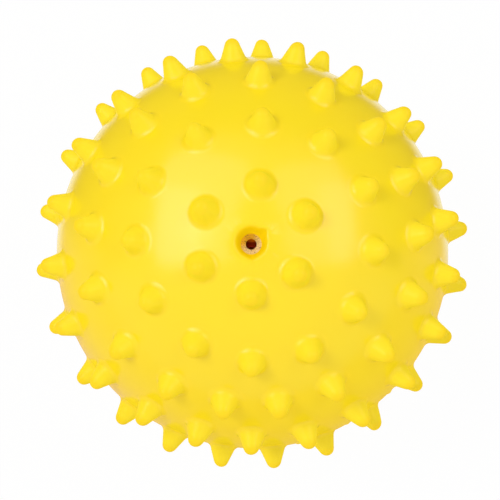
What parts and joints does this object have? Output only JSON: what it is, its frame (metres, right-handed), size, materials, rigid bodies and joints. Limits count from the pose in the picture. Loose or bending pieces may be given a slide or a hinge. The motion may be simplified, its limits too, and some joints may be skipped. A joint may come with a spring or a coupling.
{
  "type": "sensory ball",
  "caption": "Hollow soft vinyl ball covered in blunt rounded studs, with a small reed squeaker set in a recess on one side.",
  "frame": {"origin": "middle of the ball", "axes": "+Z from the middle out through the squeaker; +X to the right and +Y up when the squeaker faces the viewer"},
  "size_m": [0.1088, 0.1085, 0.1071],
  "materials": {
    "yellow_vinyl": "satin",
    "squeaker_metal": "satin",
    "squeaker_plastic": "matte",
    "reed_metal": "polished"
  },
  "bodies": {
    "ball": {"ball_shell": "yellow_vinyl", "squeaker_barrel": "squeaker_metal", "reed_block": "squeaker_plastic", "reed_wedge": "squeaker_plastic"},
    "reed": {"reed": "reed_metal"}
  },
  "joints": [
    {"name": "reed_flex", "type": "hinge", "parent": "ball", "child": "reed", "pos_m": [0, 0.00012, 0.0407], "axis": [1, 0, 0], "range_deg": [-2, 2.5], "stiffness_Nm_per_rad": 0.0001}
  ]
}
